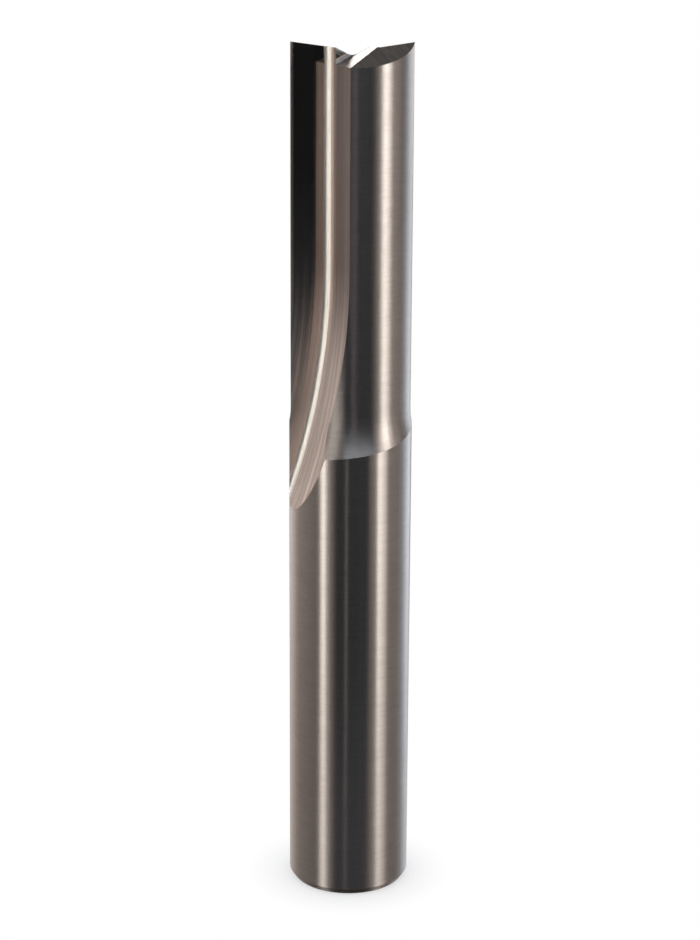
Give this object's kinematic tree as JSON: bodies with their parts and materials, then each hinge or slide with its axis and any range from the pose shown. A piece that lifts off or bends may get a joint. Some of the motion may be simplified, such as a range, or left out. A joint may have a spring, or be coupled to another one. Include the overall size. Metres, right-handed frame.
{
  "type": "straight router bit",
  "caption": "Solid carbide straight router bit with straight flutes, relieved teeth, a ground plunging end and a round half-inch shank.",
  "frame": {"origin": "centre of the shank's end face, on the surface that the bit stands on", "axes": "+Z along the bit's axis from the shank to the cutting end; the two cutting corners lie along X; the front view is along +Y"},
  "size_m": [0.0126, 0.0126, 0.0889],
  "materials": {
    "router_bit": "ground tungsten carbide, satin"
  },
  "bodies": {
    "root": {"router_bit": "router_bit"}
  },
  "joints": []
}
